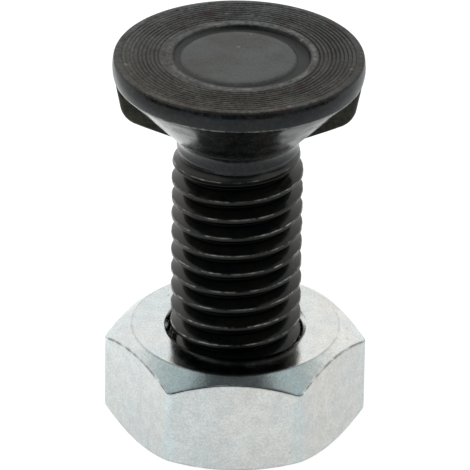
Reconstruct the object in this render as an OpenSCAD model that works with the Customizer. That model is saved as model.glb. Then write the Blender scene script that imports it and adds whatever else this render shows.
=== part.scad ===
// Plow bolt with its hexagon nut. The bolt has a flat countersunk head with two nibs
// under it, and a rolled right-hand thread. It stands on the nut, head up.
// Sizes are in millimetres. The origin is the middle of the nut's lower face, and +Z
// runs up the bolt's axis to the head.

/* [Bolt] */
// Overall length of the bolt, from its end to the face of the head
bolt_length = 30; // [24:0.5:80]
// Diameter of the head
head_d = 18.5; // [17.5:0.1:22]
// Height of the head's rim, from the cone to the face
rim_h = 1.57; // [1:0.01:2.5]
// How far the rim swells out between its two edges
rim_crown = 0.12; // [0.04:0.01:0.25]
// Break on the edge of the head's face
face_edge = 0.08; // [0.04:0.01:0.3]
// Included angle of the countersunk cone, in degrees
cone_angle = 87; // [80:1:92]
// How much slimmer the plain neck is than the thread's crests, in diameter
neck_undersize = 0.7; // [0.4:0.05:1.2]
// Height of the neck, measured from where its line meets the cone's
neck_h = 0.75; // [0.6:0.05:3]
// Fillet between the cone and the neck
neck_fillet_r = 1.5; // [0.6:0.1:2]

/* [Head face] */
// Diameter of the shallow recess in the middle of the face
recess_d = 10; // [9.2:0.1:10.6]
// Depth of the recess
recess_depth = 0.35; // [0.15:0.05:0.6]
// Draw-in of the recess wall from its mouth to its floor
recess_draft = 0.12; // [0:0.02:0.3]
// Diameter of the raised pad in the recess
pad_d = 8.6; // [7:0.1:8.6]
// Height of the pad above the recess floor
pad_h = 0.22; // [0.05:0.01:0.3]
// How far off centre the pad was struck
pad_offset = 0.2; // [0:0.05:0.4]
// Width of the smooth lip around the recess
lip_w = 0.75; // [0.3:0.05:1]
// Number of turned rings between the lip and the edge
ring_count = 10; // [4:1:12]
// Depth of each turned ring
ring_depth = 0.06; // [0.02:0.01:0.12]
// Plain band between the last turned ring and the edge of the face
ring_margin = 0.35; // [0.2:0.05:0.8]

/* [Nibs] */
// Thickness of a nib, around the head
nib_w = 4; // [2.5:0.1:4.2]
// How far a nib's outer face stays inside the rim's lower edge
nib_inset = 0.16; // [0.1:0.02:1.3]
// Lean of a nib's outer face from upright, in degrees
nib_lean = 11; // [4:1:16]
// Slope of a nib's underside, in degrees
nib_slope = 19; // [5:1:24]
// Depth of a nib's underside below the face of the head, where it meets the neck
nib_depth = 5.85; // [5.2:0.05:6.2]
// Rounding of a nib's lower outer corner
nib_corner_r = 1.8; // [0.4:0.1:2.2]

/* [Thread] */
// Diameter over the thread's crests
thread_d = 9.7; // [9:0.05:10.4]
// Pitch of the thread
thread_pitch = 1.5; // [1:0.05:1.75]
// Length over which the thread runs out below the neck
runout_l = 1.6; // [1:0.1:4]
// How far the end of the run-out lies inside the surface of the neck
runout_step = 0.05; // [0.03:0.01:0.2]
// Angle around the axis at which a crest reaches the end of the bolt, in degrees
thread_start = 73; // [0:1:359]
// How far the end of the bolt is cut back below the bottom of the thread
end_cut = 0.2; // [0.1:0.05:0.6]
// Slope of the chamfer at the end of the bolt, from its flat end, in degrees
end_chamfer = 45; // [30:1:60]

/* [Nut] */
// Width across the nut's flats
nut_af = 17; // [16:0.1:19]
// Height of the nut
nut_h = 8; // [5:0.1:12]
// Rounding of the nut's upright edges
nut_edge_r = 0.65; // [0.2:0.05:1.2]
// Diameter of the flat bearing face on top of the nut
nut_top_d = 15.5; // [14:0.1:16]
// Diameter of the flat face on the bottom of the nut
nut_base_d = 16; // [14:0.1:16]
// Slope of the chamfers on the nut's corners, in degrees
nut_chamfer = 30; // [20:1:45]
// Diametral room between the thread's crests and the nut's bore
bore_room = 0.3; // [0.2:0.05:0.8]
// Width of the countersink at each mouth of the nut's bore
sink_w = 0.35; // [0.2:0.05:0.8]
// How far the end of the bolt stays inside the nut's lower face
end_recess = 0.35; // [0.1:0.05:2]

/* [Hidden] */
$fn = 96;
// Amount by which joined shapes reach into each other
overlap = 0.3;

// Heights of the bolt's features
head_top_z = end_recess + bolt_length;
rim_edge_z = head_top_z - rim_h;
rim_mid_z = head_top_z - rim_h / 2;
cone_half = cone_angle / 2;

// Radii of the bolt's features
head_r = head_d / 2;
rim_edge_r = head_r - rim_crown;
face_r = rim_edge_r - face_edge;
thread_r = thread_d / 2;
neck_r = thread_r - neck_undersize / 2;
recess_r = recess_d / 2;
cone_foot_z = rim_edge_z - (rim_edge_r - neck_r) / tan(cone_half);
neck_low_z = cone_foot_z - neck_h;

// The fillet touches the neck and the cone this far from where their lines meet
fillet_reach = min(neck_fillet_r * tan(cone_half / 2), neck_h * 0.8);
fillet_r = fillet_reach / tan(cone_half / 2);
fillet_steps = 8;
rim_steps = 8;

// Turned rings on the face of the head
ring_inner_r = recess_r + lip_w;
ring_outer_r = face_r - ring_margin;
ring_pitch = (ring_outer_r - ring_inner_r) / ring_count;

// Sixty-degree thread: depth below the crest, and half the width of crest and root
thread_depth = thread_pitch * 0.6134;
root_r = thread_r - thread_depth;
crest_half = thread_pitch / 16;
root_half = thread_pitch / 2 - crest_half - thread_depth * tan(30);
thread_sides = 40;
thread_cap_z = neck_low_z + overlap;
runout_r = neck_r - runout_step;
runout_top_z = neck_low_z - runout_step;
end_r = root_r - end_cut;
// Axial places of one turn's profile, counted from the middle of its crest
thread_offsets = [-crest_half, crest_half, thread_pitch / 2 - root_half, thread_pitch / 2 + root_half];
thread_radii = [thread_r, thread_r, root_r, root_r];
thread_rows_a_turn = len(thread_offsets);
// The rows start three turns below the end, so that each row's first turn is cut away
thread_first_z = end_recess - (3 + thread_start / 360) * thread_pitch;
thread_turns = ceil((thread_cap_z - thread_first_z) / thread_pitch) + 2;
thread_rows = thread_turns * thread_rows_a_turn;

// Nut
bore_r = thread_r + bore_room / 2;
nut_corner_r = nut_af / 2 / cos(30);
nut_edge_steps = 6;

bolt_colour = [0.17, 0.17, 0.18];
nut_colour = [0.8, 0.81, 0.82];

// Points of the fillet between neck and cone, from the neck upwards
function fillet_points() = [
    for (step = [0 : fillet_steps])
        let (turn = cone_half * step / fillet_steps)
        [neck_r + fillet_r * (1 - cos(turn)), cone_foot_z - fillet_reach + fillet_r * sin(turn)]
];

// Points of the swelling rim, from the cone up to the break at the face
function rim_points() = [
    for (step = [0 : rim_steps])
        let (
            z = rim_edge_z + (rim_h - face_edge) * step / rim_steps,
            from_mid = (z - rim_mid_z) / (rim_h / 2)
        )
        [head_r - rim_crown * from_mid * from_mid, z]
];

// Points of the turned rings, from the edge of the face inwards
function ring_points() = [
    for (ring = [0 : ring_count - 1])
        let (groove_r = ring_outer_r - (ring + 0.5) * ring_pitch)
        each [
            [groove_r + ring_pitch * 0.35, head_top_z],
            [groove_r, head_top_z - ring_depth],
            [groove_r - ring_pitch * 0.35, head_top_z]
        ]
];

// Section of the head and neck, on one side of the axis
module head_section() {
    polygon(concat(
        [[0, neck_low_z], [neck_r, neck_low_z]],
        fillet_points(),
        rim_points(),
        [[face_r, head_top_z]],
        ring_points(),
        [[recess_r, head_top_z], [recess_r - recess_draft, head_top_z - recess_depth]],
        [[0, head_top_z - recess_depth]]
    ));
}

// Raised pad, struck a little off centre in the recess
module pad() {
    translate([-pad_offset, 0, head_top_z - recess_depth - overlap])
        cylinder(d = pad_d, h = overlap + pad_h);
}

// Outline of one nib in the plane of the axis: a sloping underside, a rounded corner
// and a leaning outer face that ends inside the rim
module nib_section() {
    top_x = rim_edge_r - nib_inset;
    root_z = head_top_z - nib_depth;
    inner_x = neck_r / 2;
    // The underside and the outer face are straight lines that meet in the sharp corner
    lean_x = tan(nib_lean);
    slope_z = tan(nib_slope);
    corner_x = (top_x - lean_x * (rim_edge_z - root_z + slope_z * neck_r)) / (1 - lean_x * slope_z);
    corner_z = root_z + slope_z * (corner_x - neck_r);
    turn = 90 - nib_lean - nib_slope;
    reach = nib_corner_r * tan(turn / 2);
    centre = [
        corner_x - reach * cos(nib_slope) - nib_corner_r * sin(nib_slope),
        corner_z - reach * sin(nib_slope) + nib_corner_r * cos(nib_slope)
    ];
    corner_steps = 7;
    polygon(concat(
        [[inner_x, rim_mid_z], [inner_x, root_z - slope_z * (neck_r - inner_x)]],
        [
            for (step = [0 : corner_steps])
                let (angle = nib_slope - 90 + turn * step / corner_steps)
                centre + nib_corner_r * [cos(angle), sin(angle)]
        ],
        [[top_x, rim_edge_z], [top_x, rim_mid_z]]
    ));
}

// One nib, reaching out along +X
module nib() {
    translate([0, nib_w / 2, 0])
        rotate([90, 0, 0])
            linear_extrude(nib_w)
                nib_section();
}

// Height of a thread row at one of the sides
function row_z(side, row) =
    thread_first_z
    + thread_pitch * (floor(row / thread_rows_a_turn) + side / thread_sides)
    + thread_offsets[row % thread_rows_a_turn];

// Share of the full thread form at a height, falling to nothing through the run-out
function thread_share(z) = min(1, max(0, (runout_top_z - z) / runout_l));

// Radius of a thread row at a height, with the run-out and the chamfered end
function row_r(row, z) =
    let (formed_r = runout_r + (thread_radii[row % thread_rows_a_turn] - runout_r) * thread_share(z))
    min(formed_r, end_r + (z - end_recess) * tan(90 - end_chamfer));

function around(radius, side, z) =
    let (angle = 360 * side / thread_sides)
    [radius * cos(angle), radius * sin(angle), z];

// Number of a row's point. Rows beyond either end share that end's ring, and past the
// last side a row goes on as the same row one turn higher.
function row_point(side, row) =
    side == thread_sides ? row_point(0, row + thread_rows_a_turn) :
    row_z(side, row) <= end_recess ? thread_sides * thread_rows + side :
    row_z(side, row) >= thread_cap_z ? thread_sides * (thread_rows + 1) + side :
    side * thread_rows + row;

// The two triangles between neighbouring rows and sides, left out where they shrink to a line
function row_faces(side, row) =
    let (
        low = row_point(side, row),
        low_next = row_point(side + 1, row),
        high_next = row_point(side + 1, row + 1),
        high = row_point(side, row + 1)
    )
    [
        if (low != high && high != high_next && low != high_next) [low, high, high_next],
        if (low != high_next && high_next != low_next && low != low_next) [low, high_next, low_next]
    ];

// Threaded shank: rows of points that climb with the helix, closed by a flat at each end
module threaded_shank() {
    formed = [
        for (side = [0 : thread_sides - 1], row = [0 : thread_rows - 1])
            let (z = min(thread_cap_z, max(end_recess, row_z(side, row))))
            around(row_r(row, z), side, z)
    ];
    end_ring = [for (side = [0 : thread_sides - 1]) around(end_r, side, end_recess)];
    cap_ring = [for (side = [0 : thread_sides - 1]) around(runout_r, side, thread_cap_z)];
    walls = [
        for (side = [0 : thread_sides - 1], row = [0 : thread_rows - thread_rows_a_turn - 2])
            each row_faces(side, row)
    ];
    end_face = [for (side = [0 : thread_sides - 1]) thread_sides * thread_rows + side];
    cap_face = [for (side = [1 : thread_sides]) thread_sides * (thread_rows + 2) - side];
    polyhedron(concat(formed, end_ring, cap_ring), concat(walls, [end_face, cap_face]));
}

// The bolt: head, pad, nibs and threaded shank are one forged and rolled piece
module bolt() {
    color(bolt_colour)
        union() {
            rotate_extrude()
                head_section();
            pad();
            for (turn = [0, 180])
                rotate([0, 0, turn])
                    nib();
            threaded_shank();
        }
}

// Hexagon with rounded corners, two of them on the X axis
module rounded_hexagon() {
    centre_r = (nut_af / 2 - nut_edge_r) / cos(30);
    polygon([
        for (corner = [0 : 5], step = [0 : nut_edge_steps])
            let (
                facing = 60 * corner,
                angle = facing - 30 + 60 * step / nut_edge_steps
            )
            centre_r * [cos(facing), sin(facing)] + nut_edge_r * [cos(angle), sin(angle)]
    ]);
}

// Section of the turned envelope that chamfers the nut's corners
module nut_envelope() {
    top_drop = (nut_corner_r - nut_top_d / 2) * tan(nut_chamfer);
    base_rise = (nut_corner_r - nut_base_d / 2) * tan(nut_chamfer);
    polygon([
        [0, 0],
        [nut_base_d / 2, 0],
        [nut_corner_r, base_rise],
        [nut_corner_r, nut_h - top_drop],
        [nut_top_d / 2, nut_h],
        [0, nut_h]
    ]);
}

// Section of the bore with a countersink at each mouth
module bore_section() {
    polygon([
        [0, -overlap],
        [bore_r + sink_w + overlap, -overlap],
        [bore_r, sink_w],
        [bore_r, nut_h - sink_w],
        [bore_r + sink_w + overlap, nut_h + overlap],
        [0, nut_h + overlap]
    ]);
}

// The nut: a chamfered hexagon, its bore running clear over the thread's crests
module nut() {
    color(nut_colour)
        difference() {
            intersection() {
                linear_extrude(nut_h)
                    rounded_hexagon();
                rotate_extrude()
                    nut_envelope();
            }
            rotate_extrude()
                bore_section();
        }
}

bolt();
nut();
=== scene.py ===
"""Dresses a plow bolt and its hexagon nut: black oxide bolt with a turned face, bright zinc nut."""

import logging
import math
from dataclasses import dataclass
from enum import Enum, IntEnum

import bmesh
import bpy
from bmesh.types import BMesh, BMFace, BMVert
from bpy.types import Material, Node, NodeSocket, NodeTree, Object
from mathutils import Matrix, Vector, noise


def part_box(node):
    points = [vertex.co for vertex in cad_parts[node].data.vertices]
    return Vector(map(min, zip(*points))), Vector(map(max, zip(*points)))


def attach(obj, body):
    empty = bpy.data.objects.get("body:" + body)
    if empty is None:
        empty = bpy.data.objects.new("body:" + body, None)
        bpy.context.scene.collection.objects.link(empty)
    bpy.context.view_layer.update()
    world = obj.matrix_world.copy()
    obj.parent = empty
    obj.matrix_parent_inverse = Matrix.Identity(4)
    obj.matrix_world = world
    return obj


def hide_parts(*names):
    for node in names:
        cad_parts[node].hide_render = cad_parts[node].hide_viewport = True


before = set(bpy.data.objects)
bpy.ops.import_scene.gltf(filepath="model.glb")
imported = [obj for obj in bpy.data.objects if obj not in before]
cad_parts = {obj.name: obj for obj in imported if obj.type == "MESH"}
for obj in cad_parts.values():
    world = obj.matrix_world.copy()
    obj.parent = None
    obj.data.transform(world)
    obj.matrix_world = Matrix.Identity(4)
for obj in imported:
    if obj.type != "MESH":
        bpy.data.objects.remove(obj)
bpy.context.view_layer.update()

log = logging.getLogger("plow_bolt")

Point = tuple[float, float]
Span = tuple[float, float]
Place = tuple[float, float, float]
Colour = tuple[float, float, float, float]

MM = 0.001
NEAR = 0.01
WELD = 1e-4
FULL_TURN = 2.0 * math.pi
HEX = 6
SIXTH = FULL_TURN / HEX
WHITE: Colour = (1.0, 1.0, 1.0, 1.0)
# Mark of rubbed wear on the bolt; on the nut it sets the burrs and the painted shade along the edges.
WEAR = "wear"
# Mark of the painted shade in the thread's grooves.
GROOVE = "groove"
# Mark of the painted cool reflection on the nut's rounded upright edges.
PAINTED_CORNER_REFLECTION = "painted_corner_reflection"


class Slot(Enum):
    """The record's material slots."""

    BLACK_STEEL = "black_steel"
    ZINC_STEEL = "zinc_steel"


class Body(Enum):
    """The bodies of the frame that pieces ride on."""

    BOLT = "bolt"
    NUT = "nut"


class Finish(IntEnum):
    """The bolt's finishes, in the order of its material slots."""

    HEAD = 0
    FACE = 1
    THREAD = 2
    NIB = 3


def node_box(node: str) -> tuple[Vector, Vector]:
    """Gives a solid's corners in millimetres.

    Args:
        node: Name of the frame's node.

    Returns:
        The lowest and the highest corner.
    """
    low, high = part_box(node)
    return Vector(low) / MM, Vector(high) / MM


def arc(centre: Point, radius: float, start: float, end: float, steps: int) -> list[Point]:
    """Lays points along a circular arc.

    Args:
        centre: Centre of the arc.
        radius: Radius of the arc.
        start: Angle of the first point, in degrees.
        end: Angle of the last point, in degrees.
        steps: Number of stretches between the points.

    Returns:
        The points, both ends included.
    """
    angles = [math.radians(start + (end - start) * step / steps) for step in range(steps + 1)]
    return [(centre[0] + radius * math.cos(a), centre[1] + radius * math.sin(a)) for a in angles]


def smooth_step(low: float, high: float, value: float) -> float:
    """Changes smoothly from 0 at low to 1 at high, whichever of them is larger."""
    share = min(1.0, max(0.0, (value - low) / (high - low)))
    return share * share * (3.0 - 2.0 * share)


@dataclass(frozen=True)
class Corner:
    """One corner of a section: its place, how far its rounding reaches and how strongly it carries a burr
    and painted shade.
    """

    radius: float
    height: float
    soft: float
    # Edge mark: sets the burr and the painted shade line at the corner.
    wear: float = 0.0
    hold: float = 2.2
    side_burr_and_shade: float = 0.4

    def towards(self, other: "Corner", distance: float) -> Point:
        """Gives the point at a distance along the line to another corner.

        Args:
            other: The other corner.
            distance: Distance from this corner.

        Returns:
            Radius and height of the point.
        """
        across = other.radius - self.radius
        rise = other.height - self.height
        share = distance / math.hypot(across, rise)
        return self.radius + share * across, self.height + share * rise

    def rounded(self, before: "Corner", after: "Corner") -> list[Place]:
        """Rounds the corner and holds the flats beside it.

        Args:
            before: Corner before this one.
            after: Corner after this one.

        Returns:
            Radius, height and edge mark of five points.
        """
        start = self.towards(before, self.soft)
        end = self.towards(after, self.soft)
        tip = (self.radius, self.height)
        middle = [(first + 2.0 * peak + last) / 4.0 for first, peak, last in zip(start, tip, end)]
        beside = self.side_burr_and_shade * self.wear
        return [
            (*self.towards(before, self.hold * self.soft), 0.0),
            (*start, beside),
            (*middle, self.wear),
            (*end, beside),
            (*self.towards(after, self.hold * self.soft), 0.0),
        ]


def soften(corners: list[Corner]) -> list[Place]:
    """Rounds every corner of a closed section.

    Args:
        corners: The corners, in order round the section.

    Returns:
        Radius, height and edge mark of each point.
    """
    triples = zip(corners[-1:] + corners[:-1], corners, corners[1:] + corners[:1])
    return [point for before, corner, after in triples for point in corner.rounded(before, after)]


def draw_profile(mesh: BMesh, points: list[Point], closed: bool = False) -> list:
    """Draws a line of edges in the XZ plane.

    Args:
        mesh: Mesh that takes the line.
        points: Radius and height of each point.
        closed: Whether the last point joins the first.

    Returns:
        The new vertices and edges.
    """
    verts = [mesh.verts.new((radius, 0.0, height)) for radius, height in points]
    pairs = list(zip(verts, verts[1:]))
    if closed:
        pairs.append((verts[-1], verts[0]))
    return verts + [mesh.edges.new(pair) for pair in pairs]


def only_verts(geometry: list) -> list[BMVert]:
    """Picks the vertices out of an operator's result."""
    return [item for item in geometry if isinstance(item, BMVert)]


def whole(mesh: BMesh) -> list:
    """Lists all of a mesh's vertices, edges and faces."""
    return mesh.verts[:] + mesh.edges[:] + mesh.faces[:]


def revolve(mesh: BMesh, geometry: list, steps: int) -> None:
    """Spins a profile a full turn about Z and closes its seam and poles.

    Args:
        mesh: Mesh that holds the profile.
        geometry: The profile's vertices and edges.
        steps: Number of steps in the turn.
    """
    bmesh.ops.spin(
        mesh, geom=geometry, cent=(0, 0, 0), axis=(0, 0, 1), angle=FULL_TURN, steps=steps, use_merge=True
    )
    close_mesh(mesh)


def close_mesh(mesh: BMesh, reach: float = WELD) -> None:
    """Merges doubled vertices and turns every face outwards.

    Args:
        mesh: Mesh to close.
        reach: Distance within which vertices are merged.
    """
    bmesh.ops.remove_doubles(mesh, verts=mesh.verts[:], dist=reach)
    bmesh.ops.dissolve_degenerate(mesh, edges=mesh.edges[:], dist=reach)
    bmesh.ops.recalc_face_normals(mesh, faces=mesh.faces[:])


def as_object(mesh: BMesh, name: str) -> Object:
    """Moves a finished mesh into a new object in the scene and frees it.

    Args:
        mesh: The mesh, which is freed.
        name: Name of the object and of its mesh data.

    Returns:
        The new object, at the origin.
    """
    data = bpy.data.meshes.new(name)
    mesh.to_mesh(data)
    mesh.free()
    piece = bpy.data.objects.new(name, data)
    bpy.context.scene.collection.objects.link(piece)
    return piece


def unite(base: Object, others: list[Object]) -> BMesh:
    """Joins closed shapes into one skin with nothing left inside.

    Args:
        base: Shape that the others are joined to. It is removed.
        others: Shapes that overlap it. They are removed.

    Returns:
        The joined mesh.
    """
    for other in others:
        joint = base.modifiers.new("join", "BOOLEAN")
        joint.operation = "UNION"
        joint.solver = "MANIFOLD"
        joint.object = other
    seen = base.evaluated_get(bpy.context.evaluated_depsgraph_get())
    mesh = bmesh.new()
    mesh.from_mesh(seen.to_mesh())
    seen.to_mesh_clear()
    for shape in [base, *others]:
        data = shape.data
        bpy.data.objects.remove(shape)
        bpy.data.meshes.remove(data)
    return mesh


def shade(mesh: BMesh, crease_deg: float) -> None:
    """Shades every face smooth and keeps the edges that turn more than an angle sharp.

    Args:
        mesh: Mesh to shade.
        crease_deg: Angle between faces above which an edge stays sharp, in degrees.
    """
    limit = math.radians(crease_deg)
    for face in mesh.faces:
        face.smooth = True
    for edge in mesh.edges:
        edge.smooth = edge.calc_face_angle(0.0) < limit


def to_metres(mesh: BMesh) -> None:
    """Scales a mesh drawn in millimetres to the frame's metres."""
    bmesh.ops.scale(mesh, vec=(MM, MM, MM), verts=mesh.verts[:])


@dataclass(frozen=True)
class Ramp:
    """A smooth change from bottom at low to top at high, whichever of low and high is larger."""

    low: float
    high: float
    bottom: float = 0.0
    top: float = 1.0


@dataclass(frozen=True)
class Grain:
    """Fractal noise: its scale per metre, its octaves and how strong the finer ones are."""

    scale: object
    detail: float = 3.0
    rough: float = 0.55


@dataclass(frozen=True)
class Clouds:
    """Patches of noise: their scale per metre, and the noise that gives 0 and 1."""

    scale: float
    low: float
    high: float


@dataclass(frozen=True)
class Spots:
    """Scattered spots: cells per metre, and the largest spot as a share of a cell."""

    scale: float
    size: float


class Graph:
    """A short way to add and join the nodes of one shader tree."""

    def __init__(self, tree: NodeTree) -> None:
        """Keeps the tree that the nodes go into."""
        self.tree = tree

    def add(self, kind: str, **settings: object) -> Node:
        """Adds a node.

        Args:
            kind: Type name of the node, without its ShaderNode prefix.
            **settings: Properties to set on it.

        Returns:
            The new node.
        """
        node = self.tree.nodes.new("ShaderNode" + kind)
        for name, value in settings.items():
            setattr(node, name, value)
        return node

    def feed(self, socket: NodeSocket, value: object) -> None:
        """Links a socket to another, or sets it to a plain value."""
        if isinstance(value, NodeSocket):
            self.tree.links.new(value, socket)
        else:
            socket.default_value = value

    def math(self, operation: str, *values: object) -> NodeSocket:
        """Adds a Math node.

        Args:
            operation: Name of the operation.
            *values: Sockets or numbers for its inputs.

        Returns:
            The result.
        """
        node = self.add("Math", operation=operation)
        for socket, value in zip(node.inputs, values):
            self.feed(socket, value)
        return node.outputs[0]

    def rise(
        self, value: object, low: object, high: object, bottom: float = 0.0, top: float = 1.0
    ) -> NodeSocket:
        """Maps a value smoothly from one range to another.

        Args:
            value: Value to map.
            low: Value that gives bottom.
            high: Value that gives top.
            bottom: Result at low and before it.
            top: Result at high and past it.

        Returns:
            The mapped value.
        """
        node = self.add("MapRange", interpolation_type="SMOOTHSTEP")
        sizes = {"Value": value, "From Min": low, "From Max": high, "To Min": bottom, "To Max": top}
        for name, size in sizes.items():
            self.feed(node.inputs[name], size)
        return node.outputs["Result"]

    def ramp(self, value: object, ramp: Ramp, unit: float = 1.0, start: float = 0.0) -> NodeSocket:
        """Maps a value through a ramp.

        Args:
            value: Value to map.
            ramp: The ramp.
            unit: Length in which the ramp's low and high are given.
            start: Where they are counted from.

        Returns:
            The mapped value.
        """
        low, high = (start + unit * place for place in (ramp.low, ramp.high))
        return self.rise(value, low, high, ramp.bottom, ramp.top)

    def blend(self, factor: object, first: object, second: object, mode: str = "MIX") -> NodeSocket:
        """Mixes two colours.

        Args:
            factor: Share of the second colour.
            first: First colour.
            second: Second colour.
            mode: Blend mode.

        Returns:
            The mixed colour.
        """
        node = self.add("Mix", data_type="RGBA", blend_type=mode)
        colours = [socket for socket in node.inputs if socket.type == "RGBA"]
        self.feed(node.inputs["Factor"], factor)
        for socket, colour in zip(colours, (first, second)):
            self.feed(socket, colour)
        return next(socket for socket in node.outputs if socket.type == "RGBA")

    def grain(self, place: object, grain: Grain) -> NodeSocket:
        """Adds fractal noise.

        Args:
            place: Coordinates to read.
            grain: Scale and octaves of the noise.

        Returns:
            The noise value.
        """
        node = self.add("TexNoise", noise_dimensions="3D")
        sizes = {"Vector": place, "Scale": grain.scale, "Detail": grain.detail, "Roughness": grain.rough}
        for name, size in sizes.items():
            self.feed(node.inputs[name], size)
        return node.outputs["Fac"]

    def object_place(self) -> NodeSocket:
        """Gives the piece's own Object coordinates."""
        return self.add("TexCoord").outputs["Object"]

    def parts(self, place: NodeSocket) -> list[NodeSocket]:
        """Splits coordinates.

        Args:
            place: The coordinates.

        Returns:
            Their X, Y and Z.
        """
        node = self.add("SeparateXYZ")
        self.feed(node.inputs[0], place)
        return node.outputs[:]

    def mark(self, name: str) -> NodeSocket:
        """Reads one of the marks that a piece carries on its vertices."""
        return self.add("Attribute", attribute_name=name).outputs["Fac"]

    def bump(self, shader: Node, height: NodeSocket, strength: float, depth: float) -> None:
        """Gives a shader fine relief.

        Args:
            shader: The shader node.
            height: Height of the relief.
            strength: Strength of the relief.
            depth: Depth of the relief, in metres.
        """
        node = self.add("Bump")
        for name, value in {"Strength": strength, "Distance": depth, "Height": height}.items():
            self.feed(node.inputs[name], value)
        self.feed(shader.inputs["Normal"], node.outputs[0])

    def group(self, tree: NodeTree, **values: object) -> Node:
        """Places a shared effect.

        Args:
            tree: The effect's node group.
            **values: Values for its inputs.

        Returns:
            The group node.
        """
        node = self.add("Group", node_tree=tree)
        for name, value in values.items():
            self.feed(node.inputs[name], value)
        return node


def new_effect(
    name: str, inputs: list[str], outputs: list[str]
) -> tuple[NodeTree, Graph, Node, Node]:
    """Starts a shared shader effect with float sockets.

    Args:
        name: Name of the node group.
        inputs: Name of each input.
        outputs: Name of each output.

    Returns:
        The group, its graph, its input node and its output node.
    """
    tree = bpy.data.node_groups.new(name, "ShaderNodeTree")
    for side, labels in (("INPUT", inputs), ("OUTPUT", outputs)):
        for label in labels:
            tree.interface.new_socket(label, in_out=side, socket_type="NodeSocketFloat")
    return tree, Graph(tree), tree.nodes.new("NodeGroupInput"), tree.nodes.new("NodeGroupOutput")


@dataclass(frozen=True)
class Effects:
    """The shader effects that more than one finish uses, each built once."""

    axis: NodeTree
    mottle: NodeTree
    specks: NodeTree
    wear_and_shade_lines: NodeTree

    @classmethod
    def build(cls) -> "Effects":
        """Builds every effect."""
        return cls(cls.build_axis(), cls.build_mottle(), cls.build_specks(), cls.build_wear_and_shade_lines())

    @staticmethod
    def build_axis() -> NodeTree:
        """Builds the effect that tells a point's height and its distance from the axis, in millimetres.

        Returns:
            The group: Shift moves the axis along X, Across is the distance from it along X.
        """
        tree, graph, start, end = new_effect("axis_place", ["Shift"], ["Radius", "Height", "Across"])
        x, along, height = (graph.math("DIVIDE", part, MM) for part in graph.parts(graph.object_place()))
        across = graph.math("SUBTRACT", x, start.outputs["Shift"])
        squares = [graph.math("MULTIPLY", part, part) for part in (across, along)]
        graph.feed(end.inputs["Radius"], graph.math("SQRT", graph.math("ADD", *squares)))
        graph.feed(end.inputs["Across"], across)
        graph.feed(end.inputs["Height"], height)
        return tree

    @staticmethod
    def build_mottle() -> NodeTree:
        """Builds soft clouds, for a finish that varies from place to place.

        Returns:
            The group: Scale is per metre, Low and High bound the noise that gives 0 and 1.
        """
        tree, graph, start, end = new_effect("mottle", ["Scale", "Low", "High"], ["Mask"])
        clouds = graph.grain(graph.object_place(), Grain(start.outputs["Scale"]))
        graph.feed(end.inputs["Mask"], graph.rise(clouds, start.outputs["Low"], start.outputs["High"]))
        return tree

    @staticmethod
    def build_specks(rarity: float = 4.0, soft: float = 0.06) -> NodeTree:
        """Builds small scattered spots, for pits and dust.

        Args:
            rarity: Power that makes large spots rare.
            soft: Width of a spot's edge, as a share of a cell.

        Returns:
            The group: Scale is cells per metre, Size the largest spot as a share of a cell.
        """
        tree, graph, start, end = new_effect("specks", ["Scale", "Size"], ["Mask"])
        cells = graph.add("TexVoronoi", feature="F1")
        graph.feed(cells.inputs["Vector"], graph.object_place())
        graph.feed(cells.inputs["Scale"], start.outputs["Scale"])
        pick = graph.add("SeparateColor")
        graph.feed(pick.inputs[0], cells.outputs["Color"])
        size = graph.math("MULTIPLY", graph.math("POWER", pick.outputs[0], rarity), start.outputs["Size"])
        edge = graph.math("SUBTRACT", size, cells.outputs["Distance"])
        graph.feed(end.inputs["Mask"], graph.rise(edge, 0.0, soft))
        return tree

    @staticmethod
    def build_wear_and_shade_lines(detail: float = 4.0, rough: float = 0.65) -> NodeTree:
        """Builds broken lines along the edges that a piece marks: rubbed wear on the bolt, painted shade on
        the nut.

        Args:
            detail: Octaves of the noise that breaks the lines.
            rough: Strength of its finer octaves.

        Returns:
            The group: Scale is per metre, Low and High bound the noise that breaks the lines.
        """
        tree, graph, start, end = new_effect("wear_and_shade_lines", ["Scale", "Low", "High"], ["Mask"])
        breaks = graph.grain(graph.object_place(), Grain(start.outputs["Scale"], detail, rough))
        broken = graph.rise(breaks, start.outputs["Low"], start.outputs["High"])
        graph.feed(end.inputs["Mask"], graph.math("MULTIPLY", graph.mark(WEAR), broken))
        return tree

    def clouds(self, graph: Graph, kind: Clouds) -> NodeSocket:
        """Places soft clouds in a finish."""
        return graph.group(self.mottle, Scale=kind.scale, Low=kind.low, High=kind.high).outputs[0]

    def spots(self, graph: Graph, kind: Spots) -> NodeSocket:
        """Places scattered spots in a finish."""
        return graph.group(self.specks, Scale=kind.scale, Size=kind.size).outputs[0]

    def lines(self, graph: Graph, kind: Clouds) -> NodeSocket:
        """Places the broken lines of marked edges in a finish: wear on the bolt, painted shade on the nut.
        """
        return graph.group(self.wear_and_shade_lines, Scale=kind.scale, Low=kind.low, High=kind.high).outputs[0]


def new_finish(name: str) -> tuple[Material, Graph, Node]:
    """Starts a material with an empty Principled shader.

    Args:
        name: Name of the material.

    Returns:
        The material, its graph and its shader node.
    """
    material = bpy.data.materials.new(name)
    material.use_nodes = True
    material.node_tree.nodes.clear()
    graph = Graph(material.node_tree)
    shader = graph.add("BsdfPrincipled")
    surface = graph.add("OutputMaterial")
    graph.feed(surface.inputs["Surface"], shader.outputs[0])
    return material, graph, shader


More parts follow.
